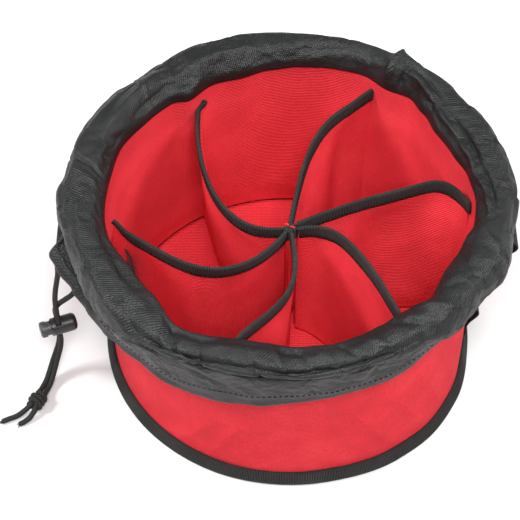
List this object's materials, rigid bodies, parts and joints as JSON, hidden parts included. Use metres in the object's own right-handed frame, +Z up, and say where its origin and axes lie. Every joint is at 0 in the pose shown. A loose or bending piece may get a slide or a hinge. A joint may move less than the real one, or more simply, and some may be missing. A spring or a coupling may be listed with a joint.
{
  "type": "tool organizer bag",
  "caption": "Free-standing round cloth tool bag with curved inner dividers, a turned-out drawstring collar with a spring cord lock, and webbing loops on its sides.",
  "frame": {"origin": "centre of the round base, on the floor that the bag stands on", "axes": "+Z up through the open mouth, -Y to the plain front of the wall, +X to the right-hand side webbing"},
  "size_m": [0.3438, 0.291, 0.157],
  "materials": {
    "red_cloth": "coated polyester plain weave, matte with a faint sheen",
    "stiffener_foam": "closed-cell foam sheet",
    "black_cloth": "coated polyester plain weave",
    "board_plastic": "stiff sheet",
    "black_tape": "ribbed grosgrain tape",
    "red_thread": "dense satin-stitched thread",
    "label_cloth": "blank woven label",
    "collar_cloth": "light nylon with a soft sheen, creased",
    "black_cord": "braided polyester cord",
    "lock_plastic": "fine-textured moulded acetal",
    "spring_steel": "bright wire",
    "black_webbing": "ribbed nylon webbing"
  },
  "bodies": {
    "bag": {"outer_wall": "red_cloth", "wall_foam": "stiffener_foam", "wall_lining": "red_cloth", "base_panel": "black_cloth", "base_board": "board_plastic", "floor_lining": "red_cloth", "base_binding": "black_tape", "divider_1": "red_cloth", "divider_2": "red_cloth", "divider_3": "red_cloth", "divider_4": "red_cloth", "divider_5": "red_cloth", "divider_6": "red_cloth", "divider_tape_1": "black_tape", "divider_tape_2": "black_tape", "divider_tape_3": "black_tape", "divider_tape_4": "black_tape", "divider_tape_5": "black_tape", "divider_tape_6": "black_tape", "centre_join": "black_tape", "centre_bartack": "red_thread", "care_label": "label_cloth", "collar_roll": "collar_cloth", "collar_skirt": "collar_cloth", "drawstring": "black_cord", "cord_tail_front": "black_cord", "cord_tail_back": "black_cord", "cord_knot": "black_cord", "cord_end_long": "black_cord", "cord_end_short": "black_cord", "webbing_base_left": "black_webbing", "webbing_base_right": "black_webbing", "webbing_loops_left": "black_webbing", "webbing_loops_right": "black_webbing", "webbing_bartacks": "red_thread"},
    "cord_lock": {"lock_barrel": "lock_plastic", "lock_spring": "spring_steel"},
    "plunger": {"lock_plunger": "lock_plastic"}
  },
  "joints": [
    {"name": "lock_on_cord", "type": "slide", "parent": "bag", "child": "cord_lock", "axis": [0, 0, 1], "range_m": [-0.007, 0.008]},
    {"name": "plunger_press", "type": "slide", "parent": "cord_lock", "child": "plunger", "axis": [0.9397, 0.342, 0], "range_m": [0, 0.0035], "stiffness_N_per_m": 600, "springref_m": -0.003, "deforming": ["lock_spring"]}
  ]
}
